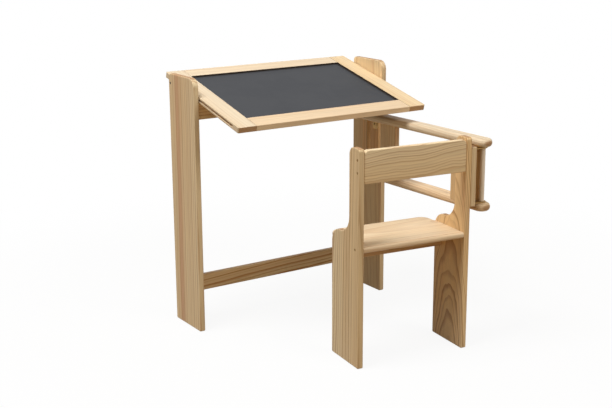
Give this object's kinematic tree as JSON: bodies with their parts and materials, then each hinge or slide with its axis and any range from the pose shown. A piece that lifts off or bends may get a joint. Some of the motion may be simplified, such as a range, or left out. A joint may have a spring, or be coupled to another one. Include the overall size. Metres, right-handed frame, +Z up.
{
  "type": "folding children's desk",
  "caption": "Pine children's desk with a tilting and sliding blackboard top and a small chair linked to the right leg by a swing arm",
  "frame": {"origin": "On the floor under the centre of the overall box of desk and chair, in the pose of the picture", "axes": "X across the desk from the left leg to the right leg, Y from the chair towards the back of the desk, Z up"},
  "size_m": [0.65, 0.7152, 0.72],
  "materials": {
    "pine": "planed pine with clear satin lacquer",
    "blackboard": "matt dark grey chalk surface",
    "steel": "zinc-plated steel"
  },
  "bodies": {
    "desk": {"apron": "pine", "hinge_batten": "pine", "left_leg": "pine", "leg_bracket_lower": "steel", "leg_bracket_lower_screw_1": "steel", "leg_bracket_lower_screw_2": "steel", "leg_bracket_upper": "steel", "leg_bracket_upper_screw_1": "steel", "leg_bracket_upper_screw_2": "steel", "lower_stretcher": "pine", "right_leg": "pine"},
    "pegs": {"peg_left": "steel", "peg_right": "steel"},
    "tabletop": {"stile_left": "pine", "stile_right": "pine", "front_rail": "pine", "back_rail": "pine", "blackboard": "blackboard"},
    "swing_arm": {"arm_back_dowel": "pine", "arm_back_post": "pine", "arm_front_dowel": "pine", "arm_front_post": "pine", "arm_lower_board": "pine", "arm_upper_board": "pine"},
    "chair": {"backrest": "pine", "backrest_screw_1_left": "steel", "backrest_screw_1_right": "steel", "backrest_screw_2_left": "steel", "backrest_screw_2_right": "steel", "chair_bracket_lower": "steel", "chair_bracket_lower_screw_1": "steel", "chair_bracket_lower_screw_2": "steel", "chair_bracket_upper": "steel", "chair_bracket_upper_screw_1": "steel", "chair_bracket_upper_screw_2": "steel", "chair_left_panel": "pine", "chair_right_panel": "pine", "hinge_plank": "pine", "seat": "pine", "seat_rail": "pine", "seat_screw_left": "steel", "seat_screw_right": "steel"}
  },
  "joints": [
    {"name": "table_tilt", "type": "hinge", "parent": "desk", "child": "pegs", "pos_m": [0, 0.2928, 0.6932], "axis": [-1, 0, 0], "range_deg": [0, 103]},
    {"name": "table_slide", "type": "slide", "parent": "pegs", "child": "tabletop", "axis": [0, 0.9718, 0.236], "range_m": [0, 0.3]},
    {"name": "arm_swing", "type": "hinge", "parent": "desk", "child": "swing_arm", "pos_m": [0.265, 0.1628, 0.4737], "axis": [0, 0, -1], "range_deg": [0, 35]},
    {"name": "chair_turn", "type": "hinge", "parent": "swing_arm", "child": "chair", "pos_m": [0.27367, -0.33412, 0.4737], "axis": [0, 0, 1], "range_deg": [0, 100]}
  ]
}
